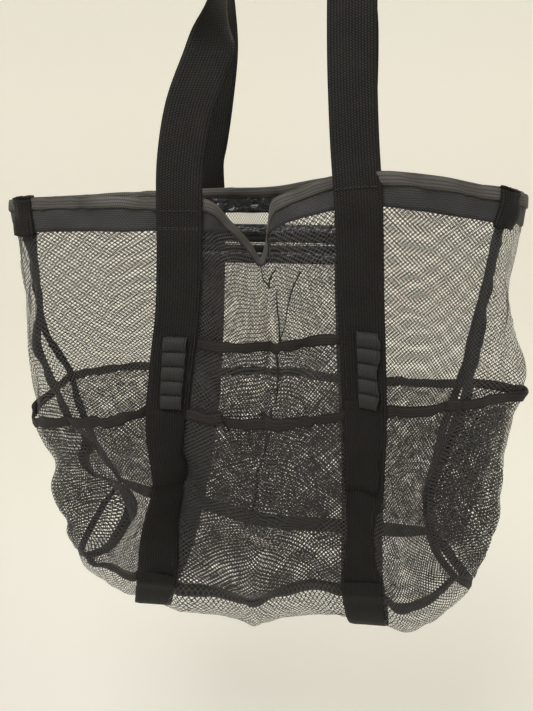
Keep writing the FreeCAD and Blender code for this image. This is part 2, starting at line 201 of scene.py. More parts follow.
def slab(name, top, bottom, uv, material):
    """Closed strip between two n by m grids: a tape, a band or webbing."""
    n, m, _ = top.shape
    count = n * m
    faces = grid_faces(n, m) + grid_faces(n, m, count, flip=True)
    rim = [(i, 0) for i in range(n)] + [(n - 1, j) for j in range(1, m)]
    rim += [(i, m - 1) for i in range(n - 2, -1, -1)] + [(0, j) for j in range(m - 2, 0, -1)]
    ids = [i * m + j for i, j in rim]
    for a, b in zip(ids, ids[1:] + ids[:1]):
        faces.append((b, a, a + count, b + count))
    verts = np.vstack([top.reshape(-1, 3), bottom.reshape(-1, 3)])
    uvs = np.vstack([uv.reshape(-1, 2)] * 2)
    return new_object(name, verts, faces, uvs, material)


def rounded(m, thick, raised=0.0):
    """Heights across a strip: thinner at its two edges, with raised selvedges just inside."""
    s = np.abs(np.linspace(-1, 1, m))
    body = thick * (1 - 0.45 * np.clip((s - 0.88) / 0.12, 0, 1) ** 2)
    return body + raised * np.exp(-((s - 0.84) / 0.07) ** 2)


def ribbon_on(name, wall, start, end, width, lift, thick, material, step=0.006, m=7, raised=0.0):
    """Strip of webbing or tape that lies on a wall from one (u, t) place to another."""
    (u0, t0), (u1, t1) = start, end
    longest = max(abs(t1 - t0) * wall.height, abs(u1 - u0))
    n = len(lift) if np.ndim(lift) else max(int(longest / step), 3)
    s = np.linspace(0, 1, n)[:, None]
    cu, ct = u0 + (u1 - u0) * s, t0 + (t1 - t0) * s
    run = np.array([u1 - u0, (t1 - t0) * wall.height])
    run /= np.linalg.norm(run)
    a = np.linspace(-width / 2, width / 2, m)[None, :]
    u = np.clip(cu + a * run[1], 0, wall.width)
    t = np.clip(ct - a * run[0] / wall.height, 0, 1)
    lifts = np.broadcast_to(np.reshape(lift, (-1, 1)), (n, m))
    height = rounded(m, thick, raised)[None, :]
    length = np.hypot((u1 - u0), (t1 - t0) * wall.height)
    uv = np.stack(np.broadcast_arrays(s * length, a + 0 * s), -1)
    return slab(name, wall.off(u, t, lifts + height), wall.off(u, t, lifts), uv, material)


def edge_binding(name, wall, u, t_edge, depth, lift, material, half=0.0015):
    """Tape folded over the edge of a wall or pocket; its leaves lie half either side of lift."""
    low = t_edge - depth / wall.height
    below = wall.at(u, t_edge - 0.03)
    up = unit(wall.at(u, t_edge) - below)
    profile = [(0.0, half), (0.12, half + 0.0003), (0.50, half + 0.0001), (0.88, half + 0.0003),
               (1.0, half), (1.0, 0.0), (1.0, -half), (0.0, -half - 0.0002)]
    rises = [0.0, 0.0, 0.0, 0.0, 0.0010, 0.0018, 0.0010, 0.0]
    rings = []
    for (share, off), rise in zip(profile, rises):
        ring = wall.off(u, low + (t_edge - low) * share, lift + off)
        rings.append(ring + up * rise)
    ring_grid = np.stack(rings, 1)
    n, k = len(u), len(profile)
    faces = []
    for i in range(n - 1):
        for j in range(k):
            q = (j + 1) % k
            faces.append((i * k + j, i * k + q, (i + 1) * k + q, (i + 1) * k + j))
    faces.append(tuple(range(k - 1, -1, -1)))
    faces.append(tuple((n - 1) * k + j for j in range(k)))
    cross = np.array([-1.0, -0.88, -0.5, -0.12, 0.0, 0.04, 0.12, 1.0]) * BINDING
    uv = np.stack(np.meshgrid(u, cross, indexing="ij"), -1)
    return new_object(name, ring_grid.reshape(-1, 3), faces, uv.reshape(-1, 2), material)


def bridge(name, a, place_a, b, place_b, run, reach, lift, thick, material, rise=0.0):
    """Strip that laps over the seam between two walls, reach onto each of them."""
    s = run[:, None]
    d = np.array([-1.0, -0.6, -0.3, -0.12, 0.0, 0.12, 0.3, 0.6, 1.0])[None] * reach
    at_a = place_a(s, np.maximum(-d, 0) + 0 * s)
    at_b = place_b(s, np.maximum(d, 0) + 0 * s)
    w = np.clip(0.5 + d / (0.9 * reach), 0, 1)[..., None]
    w = w * w * (3 - 2 * w)
    p = np.where((d < 0)[..., None], a.off(*at_a, 0.0), b.off(*at_b, 0.0))
    n = unit(a.normal(*at_a) * (1 - w) + b.normal(*at_b) * w)
    p = p + np.array([0, 0, rise])
    length = np.linalg.norm(np.diff(p[:, 4], axis=0), axis=1)
    along = np.concatenate([[0], np.cumsum(length)])[:, None]
    uv = np.stack(np.broadcast_arrays(along, d), -1)
    return slab(name, p + n * (lift + thick), p + n * lift, uv, material)


def webbing_along(name, points, material, width=STRAP_WIDTH, step=0.006, m=9):
    """Webbing along a path. Each point is (x, y, up, turn): turn is how far its flat side is
    turned from facing front, in degrees."""
    rough = spline(points, 40)
    length = np.linalg.norm(np.diff(rough[:, :3], axis=0), axis=1).sum()
    n = int(length / step)
    path = spline(points, n)
    centre, turn = path[:, :3], np.radians(path[:, 3])
    along = unit(np.gradient(centre, axis=0))
    side = np.stack([np.cos(turn), np.sin(turn), 0 * turn], 1)
    side = unit(side - (side * along).sum(1, keepdims=True) * along)
    face = np.cross(side, along)
    a = np.linspace(-width / 2, width / 2, m)
    body = rounded(m, WEB, 0.0003)
    mid = centre[:, None, :] + side[:, None, :] * a[None, :, None]
    top = mid + face[:, None, :] * (body - WEB / 2)[None, :, None]
    bottom = mid - face[:, None, :] * (body - WEB / 2)[None, :, None]
    uv = np.stack(np.meshgrid(np.linspace(0, length, n), a, indexing="ij"), -1)
    return slab(name, top, bottom, uv, material)


# ---- materials ------------------------------------------------------------------------
class Nodes:
    """Small helper for building one node material."""

    def __init__(self, name):
        self.material = bpy.data.materials.new(name)
        self.material.use_nodes = True
        self.tree = self.material.node_tree
        self.shader = self.tree.nodes["Principled BSDF"]

    def add(self, kind, **values):
        node = self.tree.nodes.new(kind)
        for key, value in values.items():
            setattr(node, key, value)
        return node

    def link(self, source, target):
        self.tree.links.new(source, target)

    def math(self, op, a, b=None):
        node = self.add("ShaderNodeMath", operation=op)
        for socket, value in zip(node.inputs, (a, b)):
            if value is None:
                continue
            if isinstance(value, (int, float)):
                socket.default_value = value
            else:
                self.link(value, socket)
        return node.outputs[0]

    def uv(self):
        node = self.add("ShaderNodeUVMap", uv_map="UVMap")
        split = self.add("ShaderNodeSeparateXYZ")
        self.link(node.outputs["UV"], split.inputs[0])
        return split.outputs["X"], split.outputs["Y"]

    def noise(self, scale, detail=3.0, vector=None):
        node = self.add("ShaderNodeTexNoise")
        node.inputs["Scale"].default_value = scale
        node.inputs["Detail"].default_value = detail
        if vector is None:
            place = self.add("ShaderNodeTexCoord")
            vector = place.outputs["Object"]
        self.link(vector, node.inputs["Vector"])
        return node.outputs["Fac"]

    def ramp(self, factor, stops):
        node = self.add("ShaderNodeValToRGB")
        elements = node.color_ramp.elements
        elements[0].position, elements[0].color = stops[0][0], (*stops[0][1], 1)
        elements[1].position, elements[1].color = stops[-1][0], (*stops[-1][1], 1)
        for position, colour in stops[1:-1]:
            elements.new(position).color = (*colour, 1)
        self.link(factor, node.inputs["Fac"])
        return node.outputs["Color"]

    def bump(self, height, distance, strength=1.0):
        node = self.add("ShaderNodeBump")
        node.inputs["Distance"].default_value = distance
        node.inputs["Strength"].default_value = strength
        self.link(height, node.inputs["Height"])
        self.link(node.outputs["Normal"], self.shader.inputs["Normal"])

    def finish(self, roughness, sheen=0.0, specular=0.3):
        self.shader.inputs["Roughness"].default_value = roughness
        self.shader.inputs["Sheen Weight"].default_value = sheen
        self.shader.inputs["Sheen Roughness"].default_value = 0.45
        self.shader.inputs["Specular IOR Level"].default_value = specular
        return self.material


def wave(n, value, pitch):
    """0 to 1 and back, once per pitch."""
    swing = n.math("SINE", n.math("MULTIPLY", value, 2 * math.pi / pitch))
    return n.math("ADD", n.math("MULTIPLY", swing, 0.5), 0.5)


def netting(name, pitch, thread, tone):
    """Warp-knit netting: open diamonds between threads that thicken where they cross."""
    n = Nodes(name)
    x, y = n.uv()
    distances = []
    for sign in (1, -1):
        run = n.math("ADD", x, n.math("MULTIPLY", y, sign))
        cell = n.math("FRACT", n.math("DIVIDE", run, pitch * math.sqrt(2)))
        distances.append(n.math("ABSOLUTE", n.math("SUBTRACT", cell, 0.5)))
    near = n.math("MAXIMUM", distances[0], distances[1])
    knot = n.math("MULTIPLY", n.math("MULTIPLY", distances[0], distances[1]), 0.35)
    yarn = n.math("ADD", near, knot)
    edge = 0.5 - 0.5 * thread / pitch + 0.032
    n.link(n.math("GREATER_THAN", yarn, edge), n.shader.inputs["Alpha"])
    colour = n.ramp(n.noise(260.0, 2.0), [(0.3, tuple(c * 0.6 for c in tone)), (0.7, tone)])
    n.link(colour, n.shader.inputs["Base Color"])
    n.bump(yarn, 0.0006)
    return n.finish(0.55, sheen=0.05)


def woven(name, dark, light, rib, pick, depth, roughness=0.62, edge=0.0, sheen=0.06, specular=0.3):
    """Webbing, band or binding: lengthwise ribs crossed by picks, offset from rib to rib."""
    n = Nodes(name)
    x, y = n.uv()
    row = n.math("FLOOR", n.math("DIVIDE", y, rib))
    shifted = n.math("ADD", x, n.math("MULTIPLY", row, pick / 2))
    ribs = n.math("POWER", n.math("ABSOLUTE", n.math("SINE", n.math("MULTIPLY", y, math.pi / rib))), 0.5)
    picks = wave(n, shifted, pick)
    height = n.math("ADD", n.math("MULTIPLY", ribs, 0.6), n.math("MULTIPLY", picks, 0.4))
    cloudy = n.noise(38.0, 4.0)
    # Painted shade and highlight: the weave's hollows are painted darker and its raised ribs and picks
    # lighter, following the bump height. The cloudy noise adds random tone.
    tone = n.math("ADD", n.math("MULTIPLY", height, 0.85), n.math("MULTIPLY", cloudy, 0.3))
    # Lighter along both edges of the strip, beyond edge from its middle.
    if edge:
        edge_strip = n.math("GREATER_THAN", n.math("ABSOLUTE", y), edge)
        tone = n.math("ADD", tone, n.math("MULTIPLY", edge_strip, 0.12))
    n.link(n.ramp(tone, [(0.25, dark), (0.95, light)]), n.shader.inputs["Base Color"])
    n.bump(height, depth)
    return n.finish(roughness, sheen=sheen, specular=specular)


def coated():
    """Crinkled coated strip: dark, glossy, with sharp creases."""
    n = Nodes("coated_strip")
    creases = n.add("ShaderNodeTexVoronoi", feature="DISTANCE_TO_EDGE")
    creases.inputs["Scale"].default_value = 95.0
    place = n.add("ShaderNodeTexCoord")
    n.link(place.outputs["Object"], creases.inputs["Vector"])
    folds = n.math("ADD", n.math("MULTIPLY", creases.outputs["Distance"], 1.6), n.noise(160.0, 5.0))
    colour = n.ramp(n.noise(60.0), [(0.3, (0.010, 0.011, 0.014)), (0.75, (0.030, 0.031, 0.037))])
    n.link(colour, n.shader.inputs["Base Color"])
    n.bump(folds, 0.0022)
    return n.finish(0.24, specular=0.7)


def plain(name, dark, light, roughness, metal=0.0, grain=300.0, depth=0.0001):
    """Moulded or painted finish with fine grain and a little tone variation."""
    n = Nodes(name)
    n.link(n.ramp(n.noise(grain, 4.0), [(0.3, dark), (0.72, light)]), n.shader.inputs["Base Color"])
    n.bump(n.noise(grain * 3, 2.0), depth)
    n.shader.inputs["Metallic"].default_value = metal
    return n.finish(roughness)


NET = netting("netting", 0.0036, 0.00086, (0.080, 0.076, 0.072))
POCKET_NET = netting("pocket_netting", 0.0039, 0.00128, (0.060, 0.058, 0.056))
POUCH_NET = netting("pouch_netting", 0.0034, 0.00062, (0.060, 0.058, 0.060))
WEBBING = woven("webbing", (0.0008, 0.0008, 0.0008), (0.027, 0.025, 0.023), 0.0030, 0.0026, 0.0009,
                edge=0.0215, sheen=0.02, specular=0.10)
BAND_CLOTH = woven("rim_band", (0.003, 0.003, 0.004), (0.062, 0.062, 0.064), 0.0022, 0.0026, 0.0007)
# The rim tape and the pocket tape are lit and shaded copies of one binding tape. The rim tape is painted
# lighter, as painted highlight from light falling on it from above. The pocket tape is painted darker, as
# painted shade.
TOP_LIT_RIM_TAPE = woven("rim_binding", (0.013, 0.013, 0.013), (0.115, 0.108, 0.098), 0.0030, 0.0016, 0.0005, 0.55)
SHADED_POCKET_TAPE = woven("pocket_binding", (0.005, 0.005, 0.005), (0.042, 0.037, 0.035), 0.0030, 0.0016, 0.0005,
                    0.6, sheen=0.03, specular=0.15)
SEAM_TAPE = woven("seam_tape", (0.003, 0.003, 0.004), (0.018, 0.018, 0.020), 0.0030, 0.0011, 0.0003, 0.6)
ELASTIC = woven("elastic", (0.003, 0.003, 0.003), (0.040, 0.038, 0.036), 0.0026, 0.0028, 0.0006, edge=0.0112)
COATED = coated()
ZIP_TAPE = woven("zipper_tape", (0.005, 0.005, 0.006), (0.020, 0.020, 0.023), 0.0018, 0.0012, 0.0002)
NYLON = plain("zipper_coil", (0.010, 0.010, 0.011), (0.030, 0.030, 0.033), 0.38)
METAL = plain("zipper_metal", (0.012, 0.012, 0.013), (0.060, 0.058, 0.056), 0.34, 0.6)
THREAD = plain("thread", (0.012, 0.012, 0.012), (0.050, 0.048, 0.046), 0.6, grain=900.0)


# ---- camera, lights and studio ----------------------------------------------------------
def studio():
    """Plain pale floor that curves up into a round wall. The bowl glows as painted light, faint in front and
    brightest behind the bag, standing in for soft light on the wall.
    """
    rings = []
    floor_up = BASE - 0.55
    for radius, up in [(0.001, 0.0), (1.5, 0.0), (2.6, 0.0), (3.3, 0.15), (3.8, 0.6), (4.0, 1.3), (4.0, 3.4)]:
        rings.append([(radius * math.cos(a), radius * math.sin(a), floor_up + up)
                      for a in np.linspace(0, 2 * math.pi, 64, endpoint=False)])
    verts = [v for ring in rings for v in ring]
    faces = []
    for r in range(len(rings) - 1):
        for k in range(64):
            q = (k + 1) % 64
            faces.append((r * 64 + k, r * 64 + q, (r + 1) * 64 + q, (r + 1) * 64 + k))
    mesh = bpy.data.meshes.new("studio_floor")
    mesh.from_pydata(verts, [], faces)
    mesh.shade_smooth()
    floor = bpy.data.objects.new("studio_floor", mesh)
    bpy.context.scene.collection.objects.link(floor)
    n = Nodes("studio_paint_and_glow")
    n.link(n.ramp(n.noise(0.35, 1.0), [(0.35, (0.72, 0.70, 0.64)), (0.65, (0.74, 0.73, 0.69))]),
           n.shader.inputs["Base Color"])
    place = n.add("ShaderNodeTexCoord")
    split = n.add("ShaderNodeSeparateXYZ")
    n.link(place.outputs["Object"], split.inputs[0])
    # Painted light: the bowl's emission rises from front to back, so the wall behind the bag glows as if lit.
    behind = n.add("ShaderNodeMapRange", interpolation_type="SMOOTHSTEP")
    n.link(split.outputs["Y"], behind.inputs["Value"])
    behind.inputs["From Min"].default_value = -1.4
    behind.inputs["From Max"].default_value = 1.2
    glow = n.ramp(behind.outputs["Result"], [(0.0, (0.10, 0.10, 0.10)), (1.0, (0.42, 0.40, 0.335))])
    n.link(glow, n.shader.inputs["Emission Color"])
    n.shader.inputs["Emission Strength"].default_value = 1.0
    mesh.materials.append(n.finish(0.9))


def area_light(name, place, aim, size, power, colour):
    data = bpy.data.lights.new(name, "AREA")
    data.shape = "DISK"
    data.size = size
    data.energy = power
    data.color = colour
    lamp = bpy.data.objects.new(name, data)
    bpy.context.scene.collection.objects.link(lamp)
    lamp.location = place
    lamp.rotation_euler = (Vector(aim) - Vector(place)).to_track_quat("-Z", "Y").to_euler()


def camera():
    """Just right of the bag's front, a little above the rim, looking down at it."""
    distance = 0.735
    yaw = math.radians(6.0)
    pitch = math.radians(17.85)
    data = bpy.data.cameras.new("camera")
    data.sensor_fit = "VERTICAL"
    data.sensor_height = 36.0
    data.lens = 34.43
    data.clip_start = 0.02
    cam = bpy.data.objects.new("camera", data)
    bpy.context.scene.collection.objects.link(cam)
    cam.location = (0.004 + distance * math.sin(yaw), -0.075 - distance * math.cos(yaw), BASE + 0.548)
    cam.rotation_euler = (math.pi / 2 - pitch, 0.0, yaw)
    bpy.context.scene.camera = cam


def lighting():
    middle = (0.0, 0.0, BASE + 0.25)
    area_light("key", (-0.30, -0.85, 0.75), (0.0, 0.0, BASE + 0.45), 0.8, 17.0, (1.0, 0.98, 0.95))
    area_light("fill", (1.7, -1.1, 0.2), middle, 1.6, 5.0, (1.0, 0.95, 0.88))
    area_light("back", (0.5, 1.6, 1.2), middle, 1.4, 10.0, (1.0, 0.97, 0.92))
    world = bpy.data.worlds.new("world")
    world.use_nodes = True
    world.node_tree.nodes["Background"].inputs["Color"].default_value = (1.0, 0.98, 0.93, 1)
    world.node_tree.nodes["Background"].inputs["Strength"].default_value = 0.16
    scene = bpy.context.scene
    scene.world = world
    scene.view_settings.view_transform = "Standard"
    scene.cycles.transparent_max_bounces = 32


camera()
studio()
lighting()

# ---- shape of the hanging bag: seam, strap and fold lines, from the base seam up --------
def mm(value):
    """Lengths written in millimetres, one or nested in lists, as metres."""
    if isinstance(value, (list, tuple)):
        return type(value)(mm(part) for part in value)
    return value / 1000


FRONT_LEFT = mm([(-236, -70, 30), (-200, -74, 44), (-176, -70, 74), (-163, -64, 102),
                 (-178, -60, 126), (-212, -64, 142), (-224, -68, 163), (-214, -72, 188),
                 (-236, -76, 226), (-258, -74, 275), (-271, -72, 312), (-264, -70, 365),
                 (-262, -72, 400), (-268, -72, 445), (-270, -70, 482)])
FRONT_RIGHT = mm([(242, -60, 22), (214, -66, 60), (198, -70, 110), (196, -72, 160),
                  (214.5, -78, 228), (227.5, -77, 275), (234, -75, 330), (241, -73, 392),
                  (247, -72, 435), (253, -71, 470), (255, -70, 494)])
FRONT_STRAP_LEFT = mm([(-136, -79, 4), (-129.5, -83, 90), (-115.5, -80, 150), (-113, -80, 240),
                       (-94, -78, 373), (-88.5, -78, 484)])
FRONT_STRAP_RIGHT = mm([(124, -79, 10), (120, -81, 150), (117.5, -80, 250), (108, -79, 370),
                        (101, -78, 475), (95.5, -78, 508)])
LEFT_FOLD = mm([(-262, -20, 4), (-278, -34, 45), (-286, -36, 100), (-274, -36, 140),
                (-284, -36, 180), (-292, -38, 230), (-299, -38, 290), (-305, -36, 345),
                (-300, -36, 400), (-292, -34, 445), (-298, -30, 474)])
RIGHT_FOLD = mm([(268, -30, 0), (282, -36, 60), (291, -36, 140), (299, -36, 230), (305, -36, 285),
                 (296, -36, 325), (279, -34, 380), (274, -32, 430), (280, -30, 484)])
BACK_LEFT = mm([(-228, 70, 66), (-258, 66, 120), (-277, 60, 180), (-286, 50, 240), (-302, 26, 300),
                (-305, 12, 360), (-305, 14, 420), (-304, 20, 474)])
BACK_RIGHT = mm([(230, 72, 6), (223, 73, 60), (225, 74, 120), (235, 74, 180), (249, 73, 240),
                 (260, 72, 300), (269, 70, 360), (277, 68, 425), (286, 66, 488)])
BACK_STRAP_LEFT = mm([(-130, 80, 36), (-108, 80, 164), (-97, 79, 284), (-92, 78, 387),
                      (-90, 78, 483)])
BACK_STRAP_RIGHT = mm([(130, 80, 8), (117, 80, 150), (108, 79, 270), (102, 78, 380), (98, 78, 500)])
FRONT_RIM = mm([(0, (-270, -70, 482)), (45, (-222, -73, 484)), (92, (-166, -76, 485)),
                (130, (-113, -78, 484)), (180, (-64, -78, 484)), (193, (-51, -74, 478)),
                (212, (-38, -62, 459)), (238, (-21, -48, 438)), (268, (-6, -40, 414)),
                (284, (1, -43, 434)), (300, (5, -54, 457)), (312, (8.5, -64, 474)),
                (319, (10.5, -69, 483)), (326, (16, -71, 486.5)), (350, (38, -74, 495)),
                (380, (70, -77, 507)), (430, (121, -78, 513)), (485, (182, -76, 508)),
                (520, (218, -73, 501)), (560, (255, -70, 494))])
FRONT_FOOT = mm([(0, (-232, -70, 28)), (15, (-224, -73, 16)), (45, (-200, -75, 17)),
                 (100, (-172, -77, 6)), (128, (-157, -78, 12)), (180, (-114, -80, -5)),
                 (205, (-78, -80, -4)), (232, (-45, -79, -9)), (268, (-15, -76, -24)),
                 (290, (4, -78, -10)), (312, (26, -80, 4)), (345, (60, -80, 15)),
                 (378, (96, -80, 11)), (432, (150, -80, 2)), (455, (170, -79, -14)),
                 (505, (205, -74, -4)), (560, (242, -60, 22))])
BACK_FOOT = mm([(0, (-228, 70, 66)), (85, (-186, 75, 48)), (180, (-107, 78, 34)),
                (245, (-42, 78, 16)), (300, (20, 77, 10)), (372, (95, 78, 8)), (440, (163, 76, 7)),
                (560, (230, 72, 6))])


def front_wall():
    """Front panel; between the straps its slack gathers into pleats under the V of the rim."""
    columns = [
        (0.0, FRONT_LEFT),
        (0.075, mm([(-190, -84, 12), (-172, -100, 60), (-160, -103, 110), (-172, -99, 180),
                    (-180, -92, 250), (-182, -84, 320), (-186, -80, 400), (-188, -75, 485)])),
        (0.13, mm([(-157, -84, 6), (-147, -96, 90), (-134, -95, 150), (-136, -84, 240),
                   (-121, -79, 373), (-114, -78, 484)])),
        (0.155, FRONT_STRAP_LEFT),
        (0.18, mm([(-116, -78, -2), (-112, -70, 90), (-97, -64, 150), (-89, -77, 240),
                   (-67, -79, 373), (-63, -78, 484)])),
        (0.232, mm([(-58, -82, -6), (-44, -84, 180), (-26, -85, 330), (-34, -78, 400),
                    (-38, -62, 459)])),
        (0.27, mm([(-18, -78, -24), (-4, -74, 150), (10, -68, 330), (4, -76, 372), (-6, -42, 414)])),
        (0.303, mm([(16, -81, -2), (22, -86, 200), (27, -88, 330), (16, -84, 395), (5, -50, 452)])),
        (0.34, mm([(55, -81, 14), (56, -82, 200), (50, -79, 335), (34, -76, 430), (16, -67, 484)])),
        (0.378, mm([(98, -80, 10), (92, -80, 250), (83, -79, 370), (70, -77, 506)])),
        (0.405, FRONT_STRAP_RIGHT),
        (0.48, mm([(186, -80, -6), (166, -98, 60), (164, -99, 130), (170, -90, 220),
                   (176, -83, 330), (180, -77, 430), (183, -75, 508)])),
        (0.56, FRONT_RIGHT),
    ]
    wall = Wall(columns, FLAT_W, FLAT_H)
    wall.fit_row(-1, FRONT_RIM, 0.16)
    wall.fit_row(0, FRONT_FOOT, 0.16)
    return wall


def back_wall():
    middle = [(0.010, 0.078, 0.012), (0.006, 0.084, 0.180), (0.002, 0.080, 0.330), (-0.004, 0.077, 0.486)]
    wall = Wall([(0.0, BACK_LEFT), (0.155, BACK_STRAP_LEFT), (0.28, middle),
                 (0.405, BACK_STRAP_RIGHT), (0.56, BACK_RIGHT)],
                FLAT_W, FLAT_H, outward=(0, 1, 0))
    wall.fit_row(0, BACK_FOOT, 0.16)
    return wall


def gusset(front, fold, back, side):
    """Side panel, folded outward along a line near the front."""
    def between(a, b, share, out):
        pa, pb = spline(a, 7), spline(b, 7)
        mid = pa + (pb - pa) * share
        mid[:, 0] += side * out
        return mid.tolist()
    columns = [(0.0, front), (0.030, between(front, fold, 0.5, 0.006)), (0.060, fold),
               (0.120, between(fold, back, 0.5, 0.004)), (0.18, back)]
    return Wall(columns, FLAT_D, FLAT_H, n_u=25, outward=(side, 0, 0))


def base_wall(front, back, left, right):
    """Slack base panel: hangs below its seam, deepest along the middle."""
    wall = Wall([(0.0, [(0, 0, 0), (0, 0, 1)]), (1.0, [(1, 0, 0), (1, 0, 1)])],
                FLAT_W, FLAT_D, n_u=71, n_t=25, outward=(0, 0, -1))
    w = wall.t[None, :, None]
    s = np.linspace(0, 1, len(wall.u))[:, None, None]
    rows = (1 - w) * front.p[:, :1] + w * back.p[:, :1]
    ends_left = left.at(left.width * wall.t, 0 * wall.t)[None]
    ends_right = right.at(right.width * wall.t, 0 * wall.t)[None]
    line_left = (1 - w) * ends_left[:, :1] + w * ends_left[:, -1:]
    line_right = (1 - w) * ends_right[:, :1] + w * ends_right[:, -1:]
    wall.p = rows + (1 - s) ** 3 * (ends_left - line_left) + s ** 3 * (ends_right - line_right)
    across_drop = 1 - (2 * wall.t - 1) ** 4
    along_drop = np.clip(1 - np.abs(2 * s[:, :, 0] - 1.02) ** 3.2, 0, 1) ** 0.8
    wall.p[:, :, 2] -= 0.074 * along_drop * across_drop[None, :]
    return wall


def crease(wall, strength, seed, scale=14.0, pin_u=()):
    """Soft, slanting creases of limp netting, none at its edges and at lines pinned in pin_u."""
    n = wall.normal(wall.u[:, None] + 0 * wall.t[None], wall.t[None] + 0 * wall.u[:, None])
    for i, u in enumerate(wall.u):
        hold = min(u, wall.width - u) / 0.035
        for line in pin_u:
            hold = min(hold, max(abs(u - line) - 0.026, 0.0) / 0.030)
        for j, t in enumerate(wall.t):
            edge = min(t, 1 - t) * wall.height / 0.05
            fade = min(hold, 1.0) * min(edge, 1.0)
            place = Vector((u * scale + 0.6 * t * scale * wall.height, t * wall.height * scale * 0.45, seed))
            ripple = noise.noise(place) + 0.45 * noise.noise(place * 2.3)
            wall.p[i, j] += n[i, j] * strength * fade * ripple


def settle(wall, held=(), slack=0.035, frames=16, most=0.009):
    """Lets a wall's netting hang as slack cloth between its seams and the cut lines in held."""
    n, m, _ = wall.p.shape
    mesh = bpy.data.meshes.new("settling")
    mesh.from_pydata(wall.p.reshape(-1, 3).tolist(), [], grid_faces(n, m))
    obj = bpy.data.objects.new("settling", mesh)
    scene = bpy.context.scene
    scene.collection.objects.link(obj)
    pins = np.zeros((n, m), bool)
    pins[[0, -1]] = True
    pins[:, [0, -1]] = True
    for line in held:
        pins[np.abs(wall.u - line) < 0.5 * STRAP_WIDTH] = True
    group = obj.vertex_groups.new(name="held")
    group.add(np.flatnonzero(pins).tolist(), 1.0, "REPLACE")
    cloth = obj.modifiers.new("hang", "CLOTH")
    facts = cloth.settings
    facts.quality = 5
    facts.mass = 0.02
    facts.tension_stiffness = 8.0
    facts.compression_stiffness = 8.0
    facts.shear_stiffness = 1.0
    facts.bending_stiffness = 0.02
    facts.shrink_min = -slack
    facts.vertex_group_mass = "held"
    cloth.collision_settings.use_collision = False
    cloth.point_cache.frame_end = frames
    for step in range(1, frames + 1):
        scene.frame_set(step)
    hung = obj.evaluated_get(bpy.context.evaluated_depsgraph_get())
    after = np.empty(n * m * 3)
    hung.data.vertices.foreach_get("co", after)
    move = after.reshape(n, m, 3) - wall.p
    far = np.linalg.norm(move, axis=-1, keepdims=True)
    wall.p = wall.p + move * np.minimum(1.0, most / np.maximum(far, 1e-9))
    bpy.data.objects.remove(obj, do_unlink=True)
    scene.frame_set(1)


front = front_wall()
back = back_wall()
left = gusset(FRONT_LEFT, LEFT_FOLD, BACK_LEFT, -1)
right = gusset(FRONT_RIGHT, RIGHT_FOLD, BACK_RIGHT, 1)
left.p[0] = front.p[0]
right.p[0] = front.p[-1]
left.p[-1] = back.p[0]
right.p[-1] = back.p[-1]
base = base_wall(front, back, left, right)
crease(front, 0.0050, 1.3, pin_u=STRAP_U)
crease(back, 0.0045, 4.1, pin_u=STRAP_U)
crease(left, 0.0060, 7.7)
crease(right, 0.0060, 9.2)
crease(base, 0.0050, 12.6)
settle(front, STRAP_U)
settle(back, STRAP_U)
settle(left)
settle(right)
settle(base, STRAP_U)


# ---- pieces ---------------------------------------------------------------------------
def keep(obj, slot, *nodes):
    """Puts a piece on the bag and hides the CAD nodes that it stands for; slot, the name of its finish, is
    not used.
    """
    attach(obj, "bag")
    if nodes:
        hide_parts(*nodes)
    return obj


def merge(name, objects):
    """One object made of several that share a material."""
    verts, faces, uvs = [], [], []
    for obj in objects:
        mesh = obj.data
        start = len(verts)
        verts += [v.co.copy() for v in mesh.vertices]
        layer = mesh.uv_layers["UVMap"].data
        place = {}
        for poly in mesh.polygons:
            faces.append([start + v for v in poly.vertices])
            for loop in poly.loop_indices:
                place[mesh.loops[loop].vertex_index] = tuple(layer[loop].uv)
        uvs += [place.get(k, (0.0, 0.0)) for k in range(len(mesh.vertices))]
    material = objects[0].data.materials[0]
    for obj in objects:
        bpy.data.objects.remove(obj, do_unlink=True)
    verts = np.array([tuple(v) for v in verts])
    verts[:, 2] -= BASE
    return new_object(name, verts, faces, uvs, material)


def patch(name, wall, u0, u1, top, lift, material, foot=0.0, step=0.007):
    """Part of a wall as its own sheet, from foot up to the shares top(u), lifted off the wall
    by lift(share across, share up)."""
    n = max(int((u1 - u0) / step), 4)
    u = np.linspace(u0, u1, n)
    high = top(u)
    m = max(int((np.max(high) - foot) * wall.height / step), 4)
    a, b = np.meshgrid(np.linspace(0, 1, n), np.linspace(0, 1, m), indexing="ij")
    t = foot + (high[:, None] - foot) * b
    u = u[:, None] + 0 * b
    uv = np.stack([u, t * wall.height], -1)
    return sheet(name, wall.off(u, t, lift(a, b)), uv, material)


def panel(name, wall, node):
    obj = patch(name, wall, 0, wall.width, lambda u: 1 + 0 * u, lambda a, b: 0 * a, NET)
    keep(obj, "mesh", node)


def mouth(wall, places):
    """Line of a pocket's mouth, from (cut place, height above the base seam) pairs."""
    keys = [u for u, _ in places]
    heights = [up for _, up in places]
    return lambda u: wall.level(u, np.interp(u, keys, heights))


def gaping(resting, open_by, before=0.0, after=0.0):
    """A pocket's lift: close at its sides and foot, bulging most near the middle of its mouth.
    before and after are the shares of its width that lie flat under a strap."""
    def lift(a, b):
        free = np.clip((a - before) / (1 - before - after), 0, 1)
        return resting + open_by * np.sin(np.pi * free) * b ** 1.6
    return lift


def pocket(name, node, wall, span, line, lift, cut):
    """Pocket of netting; cut, its flat width, height and the share that its taper leaves, is not used."""
    obj = patch(name, wall, *span, line, lift, POCKET_NET, foot=0.012)
    keep(obj, "mesh", node)


def bound_mouth(name, wall, span, line, lift):
    """Binding over a pocket's mouth, at the pocket's own distance from the wall."""
    u0, u1 = span
    u = np.linspace(u0, u1, max(int((u1 - u0) / 0.005), 4))
    share = (u - u0) / (u1 - u0)
    return edge_binding(name, wall, u, line(u), BINDING, lift(share, 1 + 0 * share), SHADED_POCKET_TAPE)


